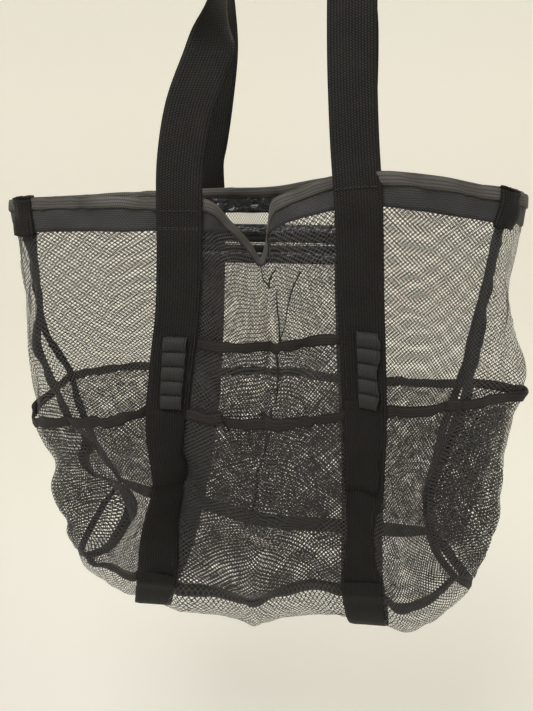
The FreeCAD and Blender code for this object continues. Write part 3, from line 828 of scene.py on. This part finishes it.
def band(name, wall, u0, u1, low, lift=0.0004, material=None, inner=False):
    """Woven band round the rim, from the heights low(u) up to the edge."""
    n = max(int((u1 - u0) / 0.006), 4)
    u = np.linspace(u0, u1, n)[:, None]
    b = np.linspace(0, 1, 8)[None]
    t = low(u[:, 0])[:, None] * (1 - b) + b
    uv = np.stack(np.broadcast_arrays(u, (t - 1) * wall.height), -1)
    thick = CLOTH
    if inner:
        lift, thick = -lift, -CLOTH
    return slab(name, wall.off(u, t, lift + thick), wall.off(u, t, lift), uv, material or BAND_CLOTH)


# netting panels
panel("front_netting", front, "front_mesh_panel")
panel("back_netting", back, "back_mesh_panel")
panel("left_gusset_netting", left, "left_side_mesh")
panel("right_gusset_netting", right, "right_side_mesh")
panel("base_netting", base, "base_mesh_panel")

# pockets and their bound mouths
FRONT_LINE = mouth(front, [(0.0, 0.2265), (0.075, 0.236), (0.13, 0.246), (0.183, 0.2425), (0.232, 0.2395),
                           (0.27, 0.2365), (0.303, 0.239), (0.34, 0.244), (0.378, 0.250), (0.43, 0.2555),
                           (0.50, 0.261), (0.56, 0.2665)])
TALL_LINE = mouth(front, [(0.155, 0.329), (0.183, 0.329), (0.232, 0.326), (0.287, 0.324), (0.294, 0.331),
                          (0.34, 0.336), (0.378, 0.340), (0.405, 0.341)])
BACK_LINE = mouth(back, [(0.0, 0.235), (0.08, 0.242), (0.28, 0.236), (0.48, 0.236), (0.56, 0.237)])
LEFT_LINE = mouth(left, [(0.0, 0.2265), (0.06, 0.206), (0.12, 0.222), (0.18, 0.235)])
RIGHT_LINE = mouth(right, [(0.0, 0.2665), (0.06, 0.264), (0.12, 0.252), (0.18, 0.237)])
WING_FLAT = 0.027 / L_STRAP
MIDDLE_FLAT = 0.027 / (R_STRAP - L_STRAP)
LEFT_WING = gaping(0.0012, 0.007, 0.0, WING_FLAT)
RIGHT_WING = gaping(0.0012, 0.007, WING_FLAT, 0.0)
BACK_LIFT = gaping(0.0012, 0.007, MIDDLE_FLAT, MIDDLE_FLAT)
TALL_LIFT = gaping(0.0014, 0.004, MIDDLE_FLAT, MIDDLE_FLAT)
LOW_LIFT = gaping(0.0030, 0.010, MIDDLE_FLAT, MIDDLE_FLAT)
SIDE_LIFT = gaping(0.0012, 0.006)
WING_CUT = (0.135, 0.240, 0.88)
TALL_CUT = (0.25, 0.330, 1.0)
LOW_CUT = (0.25, 0.240, 1.0)
LEFT_CUT = (0.18, 0.235, 1.0)
RIGHT_CUT = (0.20, 0.250, 1.0)
LEFT_SPAN = (0.0, L_STRAP)
RIGHT_SPAN = (R_STRAP, FLAT_W)
SIDE_SPAN = (0.0, FLAT_D)
for facts in (
        ("front_left_wing_pocket", "front_left_pocket", front, LEFT_SPAN, FRONT_LINE, LEFT_WING, WING_CUT),
        ("front_right_wing_pocket", "front_right_pocket", front, RIGHT_SPAN, FRONT_LINE, RIGHT_WING,
         WING_CUT),
        ("front_tall_pocket_netting", "front_tall_pocket", front, STRAP_U, TALL_LINE, TALL_LIFT, TALL_CUT),
        ("front_low_pocket_netting", "front_low_pocket", front, STRAP_U, FRONT_LINE, LOW_LIFT, LOW_CUT),
        ("back_left_wing_pocket", "back_left_pocket", back, LEFT_SPAN, BACK_LINE, LEFT_WING, WING_CUT),
        ("back_right_wing_pocket", "back_right_pocket", back, RIGHT_SPAN, BACK_LINE, RIGHT_WING, WING_CUT),
        ("back_middle_pocket", "back_low_pocket", back, STRAP_U, BACK_LINE, BACK_LIFT, LOW_CUT),
        ("left_gusset_pocket", "left_side_pocket", left, SIDE_SPAN, LEFT_LINE, SIDE_LIFT, LEFT_CUT),
        ("right_gusset_pocket", "right_side_pocket", right, SIDE_SPAN, RIGHT_LINE, SIDE_LIFT, RIGHT_CUT)):
    pocket(*facts)
for name, node, wall, line, middle in (
        ("front_pocket_mouth", "front_pocket_binding", front, FRONT_LINE, LOW_LIFT),
        ("back_pocket_mouth", "back_pocket_binding", back, BACK_LINE, BACK_LIFT)):
    lengths = ((LEFT_SPAN, LEFT_WING), (STRAP_U, middle), (RIGHT_SPAN, RIGHT_WING))
    parts = [bound_mouth("part", wall, span, line, lift) for span, lift in lengths]
    keep(merge(name, parts), "binding", node)
for name, node, wall, span, line, lift in (
        ("tall_pocket_mouth", "tall_pocket_binding", front, STRAP_U, TALL_LINE, TALL_LIFT),
        ("left_pocket_mouth", "left_pocket_binding", left, SIDE_SPAN, LEFT_LINE, SIDE_LIFT),
        ("right_pocket_mouth", "right_pocket_binding", right, SIDE_SPAN, RIGHT_LINE, SIDE_LIFT)):
    keep(bound_mouth(name, wall, span, line, lift), "binding", node)


def folded_slack(name, wall, low, high, wide_low, wide_high):
    """Slack of a side pocket folded in behind its front seam, as two leaves of netting."""
    share = np.linspace(0, 1, 30)
    turn = np.concatenate([np.linspace(0, 1, 10), np.linspace(1, 0, 10)])[:, None]
    leaf = np.repeat([0.0, 1.0], 10)[:, None]
    u = 0.001 + turn * (wide_low + (wide_high - wide_low) * share)[None]
    t = low + (high - low) * share[None] + 0 * turn
    ripple = 0.0015 * np.sin(9 * share[None] + 5 * turn)
    points = wall.off(u, t, -0.0050 - 0.0050 * leaf + ripple)
    run = np.concatenate([[0], np.cumsum(np.linalg.norm(np.diff(points[:, -1], axis=0), axis=1))])
    uv = np.stack(np.broadcast_arrays(run[:, None] * 1.2, t * wall.height), -1)
    obj = keep(sheet(name, points, uv, POCKET_NET), "mesh")


folded_slack("right_pocket_slack", right, 0.10, 0.50, 0.026, 0.052)


def front_band_foot(u):
    """Lower edge of the front band: straight, and cut across by the folded V of the rim."""
    keys = [0.0, 0.155, 0.232, 0.27, 0.30, 0.34, 0.378, 0.43, 0.56]
    heights = [0.446, 0.451, 0.450, 0.448, 0.447, 0.462, 0.474, 0.479, 0.461]
    straight = front.level(u, np.interp(u, keys, heights))
    return np.minimum(straight, 1 - 0.010 / front.height)


# rim: woven band outside, coated facing inside, binding over the edge
for wall, side, u_end in ((front, "front", FLAT_W), (back, "back", FLAT_W),
                          (left, "left", FLAT_D), (right, "right", FLAT_D)):
    def foot(u, wall=wall, side=side):
        if side == "front":
            return front_band_foot(u)
        return wall.level(u, wall.at(u, 1 + 0 * u)[:, 2] - BAND)
    keep(band(side + "_woven_band", wall, 0.0, u_end, foot), "rim_band", side + "_rim_band")
    keep(band(side + "_band_facing", wall, 0.0, u_end, foot, material=COATED, inner=True), "coated_strip")
    u = np.linspace(0.0, u_end, int(u_end / 0.004))
    folded = np.exp(-((u - 0.262) / 0.045) ** 4) if side == "front" else 0 * u
    keep(edge_binding(side + "_edge_binding", wall, u, 1 + 0 * u, BINDING * (1 - 0.2 * folded), 0 * u,
                      TOP_LIT_RIM_TAPE, 0.0028 - 0.0009 * folded), "binding", side + "_rim_binding")


# seams and their tapes
def up_seam(edge):
    """Places along a vertical seam at a wall's start or end."""
    def place(wall):
        return lambda s, d: ((wall.width - d) if edge else d, s + 0 * d)
    return place


def along_foot(wall, s, d):
    return s * wall.width, d / wall.height


START, END = up_seam(0), up_seam(1)
SEAM_RUN = np.linspace(0.0, 0.985, 84)
FOOT_RUN = np.linspace(0.0, 1.0, 90)
for name, node, a, pa, b, pb in (
        ("front_left_seam_binding", "front_left_seam_tape", left, START(left), front, START(front)),
        ("front_right_seam_binding", "front_right_seam_tape", front, END(front), right, START(right)),
        ("back_left_seam_binding", "back_left_seam_tape", left, END(left), back, START(back)),
        ("back_right_seam_binding", "back_right_seam_tape", back, END(back), right, END(right))):
    keep(bridge(name, a, pa, b, pb, SEAM_RUN, 0.0062, -0.0020, 0.0014, SEAM_TAPE), "binding", node)
for name, node, wall, pb in (
        ("front_foot_binding", "front_base_tape", front, lambda s, d: (s * FLAT_W, d / FLAT_D)),
        ("back_foot_binding", "back_base_tape", back, lambda s, d: (s * FLAT_W, 1 - d / FLAT_D)),
        ("left_foot_binding", "left_base_tape", left, lambda s, d: (d, s + 0 * d)),
        ("right_foot_binding", "right_base_tape", right, lambda s, d: (FLAT_W - d, s + 0 * d))):
    keep(bridge(name, wall, lambda s, d, w=wall: along_foot(w, s, d), base, pb, FOOT_RUN,
                0.0050, -0.0020, 0.0014, SEAM_TAPE), "binding", node)


# folded tabs over the front corners of the rim
def tab(name, a, pa, b, pb, node):
    run = np.linspace(0.925, 1.0, 12)
    outer = bridge("a", a, pa, b, pb, run, 0.013, 0.0030, 0.0016, WEBBING)
    inner = bridge("b", a, pa, b, pb, run, 0.013, -0.0046, 0.0016, WEBBING)
    top = bridge("c", a, pa, b, pb, np.linspace(0.996, 1.0, 3), 0.013, -0.0046, 0.0092, WEBBING, rise=0.0032)
    keep(merge(name, [outer, inner, top]), "webbing", node)


tab("left_corner_tab", left, START(left), front, START(front), "left_rim_tab")
tab("right_corner_tab", front, END(front), right, START(right), "right_rim_tab")


# webbing: each handle runs on down both of its straps
STRAP_LIFT = 0.0042
STRAP_TOP = STRAP_LIFT + WEB


def strap_points(wall, u, going_up, lift, facing):
    """Path of a strap on a wall, with the turn that keeps it flat on the cloth."""
    t = np.array([0.004, 0.06, 0.18, 0.32, 0.46, 0.60, 0.74, 0.87, 0.95])
    t = t if going_up else t[::-1]
    lifts = lift + 0.0016 * np.clip((t - 0.80) / 0.12, 0, 1)
    centre = wall.off(u + 0 * t, t, lifts + WEB / 2)
    tangent = wall.at(u + 0.02 + 0 * t, t) - wall.at(u - 0.02 + 0 * t, t)
    turn = np.degrees(np.arctan2(tangent[:, 1], tangent[:, 0])) + facing
    return [(*c, a) for c, a in zip(centre, turn)]


def handle(name, wall, turns, arch, nodes):
    up_leg = strap_points(wall, L_STRAP, True, STRAP_LIFT, turns[0])
    down_leg = strap_points(wall, R_STRAP, False, STRAP_LIFT, turns[1])
    obj = webbing_along(name, up_leg + arch + down_leg, WEBBING)
    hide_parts(*nodes)
    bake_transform(obj)
    return obj


FRONT_ARCH = [(-0.0865, -0.0805, 0.520, 2), (-0.0770, -0.072, 0.575, 6), (-0.0585, -0.063, 0.622, 14),
              (-0.0525, -0.059, 0.640, 30), (-0.0490, -0.055, 0.662, 66), (-0.0440, -0.051, 0.690, 84),
              (-0.0330, -0.046, 0.730, 90), (-0.0080, -0.042, 0.758, 90), (0.0280, -0.041, 0.766, 90),
              (0.0620, -0.041, 0.763, 92), (0.0790, -0.044, 0.744, 108), (0.0850, -0.049, 0.714, 140),
              (0.0865, -0.053, 0.684, 170), (0.0880, -0.059, 0.640, 178), (0.0900, -0.065, 0.600, 180),
              (0.0940, -0.074, 0.545, 180)]
BACK_ARCH = [(-0.0915, 0.0780, 0.515, 180), (-0.0850, 0.0730, 0.545, 180), (-0.0770, 0.0660, 0.585, 178),
             (-0.0680, 0.0580, 0.639, 170), (-0.0610, 0.0510, 0.690, 140), (-0.0480, 0.0450, 0.735, 100),
             (-0.0200, 0.0415, 0.760, 90), (0.0250, 0.0410, 0.766, 90), (0.0640, 0.0415, 0.762, 88),
             (0.0850, 0.0450, 0.735, 70), (0.0930, 0.0500, 0.695, 30), (0.0955, 0.0580, 0.640, 6),
             (0.0970, 0.0680, 0.575, 0), (0.0975, 0.0760, 0.530, 0)]
handle("front_carry_webbing", front, (0, 180), FRONT_ARCH,
       ("front_left_strap", "front_right_strap", "front_handle"))
handle("back_carry_webbing", back, (180, 0), BACK_ARCH,
       ("back_left_strap", "back_right_strap", "back_handle"))


def base_strap(name, u, slant, node):
    """Webbing under the base that laps a little way up over both straps; slant is how far it
    strays sideways in the middle."""
    over = STRAP_TOP + 0.0006
    rise = np.array([0.034, 0.022, 0.010, 0.002])
    down = front.off(u + 0 * rise, rise, over + WEB / 2)
    share = np.linspace(0.03, 0.97, 30)
    below = base.off(u + slant * np.sin(np.pi * share) ** 0.7, share, 0.0030 + WEB / 2)
    back_up = back.off(u + 0 * rise, rise[::-1], over + WEB / 2)
    path = [(*p, 0.0) for p in np.vstack([down, below, back_up])]
    keep(webbing_along(name, path, WEBBING, width=0.0485), "webbing", node)


base_strap("left_under_strap", L_STRAP, -0.013, "left_base_strap")
base_strap("right_under_strap", R_STRAP, 0.004, "right_base_strap")


def strap_lap(name, u, low_end, high_end):
    """Upper length of a front strap, where it laps over the lower one and hangs a little proud."""
    share = np.linspace(0, 1, 18)
    lift = STRAP_TOP + 0.0004 - 0.0020 * share ** 0.7
    obj = ribbon_on(name, front, (u, low_end), (u, high_end), 0.0500, lift, WEB, WEBBING)
    keep(obj, "webbing")


strap_lap("left_strap_lap", L_STRAP, 0.305, 0.500)
strap_lap("right_strap_lap", R_STRAP, 0.290, 0.510)


def loops(name, wall, u_low, u_high, up_low, up_high, node, cells=5):
    """Elastic caught down between cells so that each cell stands up as a loop."""
    t0, t1 = wall.level(np.array([u_low, u_high]), np.array([up_low, up_high]))
    cell_run = np.linspace(0, cells, cells * 9 + 1)
    arch = np.abs(np.sin(np.pi * cell_run)) ** 0.55
    lift = STRAP_TOP + 0.0003 + 0.0052 * arch
    obj = ribbon_on(name, wall, (u_low, t0), (u_high, t1), 0.026, lift, 0.0012, ELASTIC)
    keep(obj, "elastic", node)


loops("left_loop_strip", front, 0.1600, 0.1560, 0.246, 0.333, "left_elastic_loops")
loops("right_loop_strip", front, 0.4100, 0.4110, 0.256, 0.345, "right_elastic_loops")


# inner zip pocket: straight along its zip, slack below
def strip(name, rows, material, thick=CLOTH, ripple=0.0, half=0.105, n=60, seed=0.0):
    """Strip across the bag through (y, up) rows, facing the front, with an optional ripple."""
    x = np.linspace(-half, half, n)
    m = len(rows)
    top = np.zeros((n, m, 3))
    for i, a in enumerate(x):
        for j, (y, up) in enumerate(rows):
            wobble = ripple * noise.noise(Vector((a * 45, up * 60, seed)))
            top[i, j] = (a, y + wobble, up)
    bottom = top + np.array([0, thick, 0])
    uv = np.stack([top[..., 0], top[..., 2]], -1)
    return slab(name, top, bottom, uv, material)


def zip_pocket():
    keep(strip("upper_coated_strip", [(0.0745, 0.4405), (0.0700, 0.438), (0.0672, 0.434), (0.0668, 0.427)],
               COATED, ripple=0.0012), "coated_strip", "inner_pocket_upper_strip")
    keep(strip("lower_coated_strip", [(0.0668, 0.406), (0.0664, 0.402), (0.0664, 0.397), (0.0670, 0.391)],
               COATED, ripple=0.0016, seed=3.0), "coated_strip", "inner_pocket_lower_strip")
    keep(strip("upper_zip_tape", [(0.0680, 0.4285), (0.0676, 0.423), (0.0674, 0.4182)], ZIP_TAPE, 0.0006),
         "zipper_tape", "zipper_upper_tape")
    keep(strip("lower_zip_tape", [(0.0674, 0.4148), (0.0676, 0.410), (0.0680, 0.4045)], ZIP_TAPE, 0.0006),
         "zipper_tape", "zipper_lower_tape")
    n, m = 60, 36
    x = np.linspace(-0.105, 0.105, n)
    points = np.zeros((n, m, 3))
    for i, a in enumerate(x):
        for j, s in enumerate(np.linspace(0, 1, m)):
            side = math.cos(math.pi * a / 0.21)
            belly = 0.016 * side * math.sin(math.pi * min(s * 1.05, 1.0)) ** 0.8
            wobble = 0.004 * side * noise.noise(Vector((a * 22, s * 3, 5.0)))
            y = 0.0752 - 0.0078 * min(s, 1) ** 3 - belly - wobble
            points[i, j] = (a, y, 0.235 + (0.393 - 0.235) * s)
    uv = np.stack([points[..., 0], points[..., 2]], -1)
    pouch = sheet("zip_pouch_netting", points, uv, POUCH_NET)
    keep(pouch, "mesh", "inner_pocket_mesh")


def zip_teeth():
    """Two rows of moulded teeth that mesh along the middle of the zip."""
    verts, faces, uvs = [], [], []
    pitch, middle = 0.0020, 0.4165
    for k in range(94):
        for row in (-1, 1):
            x = -0.0930 + k * pitch + (0.25 * pitch if row > 0 else -0.25 * pitch)
            tip, root = middle - row * 0.0003, middle + row * 0.0014
            start = len(verts)
            for up, half, y in ((root, 0.00036, 0.0667), (root, 0.00036, 0.0681),
                                (tip, 0.00052, 0.0664), (tip, 0.00052, 0.0682)):
                verts += [(x - half, y, up), (x + half, y, up)]
            a = start
            faces += [(a, a + 1, a + 3, a + 2), (a + 4, a + 6, a + 7, a + 5), (a, a + 4, a + 5, a + 1),
                      (a + 2, a + 3, a + 7, a + 6), (a, a + 2, a + 6, a + 4), (a + 1, a + 5, a + 7, a + 3)]
            uvs += [(x, 0.0)] * 8
    teeth = new_object("zip_teeth", verts, faces, uvs, NYLON, smooth=False)
    bevel = teeth.modifiers.new("round", "BEVEL")
    bevel.width = 0.00014
    bevel.segments = 2
    keep(teeth, "zipper_coil", "zipper_coil")


zip_pocket()
zip_teeth()
for node in ("zipper_slider", "zipper_pull_tab", "zipper_end_stops"):
    mesh = bpy.data.objects[node].data
    mesh.materials.clear()
    mesh.materials.append(METAL)


# sewing
def stitch_row(wall, start, end, lift, length=0.0030, gap=0.0011, width=0.0006):
    """Row of raised thread dashes on a wall, as vertex, face and UV lists."""
    (u0, t0), (u1, t1) = start, end
    run = math.hypot(u1 - u0, (t1 - t0) * wall.height)
    count = int(run / (length + gap))
    s = (np.arange(count) + 0.5) / count
    half = 0.5 * length / run
    du, dt = (t1 - t0) * wall.height / run, -(u1 - u0) / run / wall.height
    rings = []
    for along, rise in ((-half, 0.0), (-0.6 * half, 0.0003), (0.6 * half, 0.0003), (half, 0.0)):
        for across_by in (-0.5 * width, 0.5 * width):
            u = np.clip(u0 + (u1 - u0) * (s + along) + across_by * du, 0, wall.width)
            t = np.clip(t0 + (t1 - t0) * (s + along) + across_by * dt, 0, 1)
            rings.append((wall.off(u, t, lift + rise), wall.off(u, t, lift - 0.0003)))
    verts, faces, uvs = [], [], []
    for k in range(count):
        a = len(verts)
        verts += [tuple(top[k]) for top, _ in rings] + [tuple(low[k]) for _, low in rings]
        uvs += [(0.001 * k, 0.001 * j) for j in range(16)]
        for j in range(a, a + 6, 2):
            faces += [(j, j + 1, j + 3, j + 2), (j + 8, j + 10, j + 11, j + 9),
                      (j, j + 2, j + 10, j + 8), (j + 1, j + 9, j + 11, j + 3)]
        faces += [(a, a + 8, a + 9, a + 1), (a + 6, a + 7, a + 15, a + 14)]
    return verts, faces, uvs


def stitching(name, rows, *nodes):
    verts, faces, uvs = [], [], []
    for v, f, w in rows:
        start = len(verts)
        verts += v
        faces += [tuple(start + k for k in face) for face in f]
        uvs += w
    keep(new_object(name, verts, faces, uvs, THREAD, smooth=False), "thread", *nodes)


rows = []
for wall in (front, back):
    for u in STRAP_U:
        for edge in (-0.0215, 0.0215):
            rows.append(stitch_row(wall, (u + edge, 0.06), (u + edge, 0.28), STRAP_TOP))
            rows.append(stitch_row(wall, (u + edge, 0.52), (u + edge, 0.93), STRAP_TOP))
        for t in (0.936, 0.940, 0.976):
            rows.append(stitch_row(wall, (u - 0.021, t), (u + 0.021, t), STRAP_TOP + 0.0016, width=0.0010))
stitching("strap_sewing", rows, "strap_bar_tacks")


def ridges(name, wall, lines, width, lift, slot, material):
    """Narrow doubled ridges along a wall through (x, height) points."""
    parts = []
    for line in lines:
        places = [wall.near(x, up) for x, up in line]
        for start, end in zip(places[:-1], places[1:]):
            parts.append(ribbon_on("part", wall, start, end, width, lift, 0.0012, material,
                                   step=0.004, m=5))
    keep(merge(name, parts), slot)


ridges("pocket_divider_seam", front, [[(0.0205, 0.325), (0.018, 0.262), (0.013, 0.230), (0.001, 0.180),
                                       (-0.008, 0.141), (-0.010, 0.115)]],
       0.0026, 0.0050, "binding", SEAM_TAPE)
ridges("front_pleat_folds", front, [
    [(-0.006, 0.412), (0.001, 0.396), (0.005, 0.386)], [(0.012, 0.412), (0.008, 0.398), (0.005, 0.386)],
    [(0.016, 0.392), (0.018, 0.360), (0.0205, 0.328)],
    [(0.042, 0.408), (0.034, 0.386), (0.026, 0.345), (0.0215, 0.330)]],
       0.0018, 0.0004, "mesh", SEAM_TAPE)
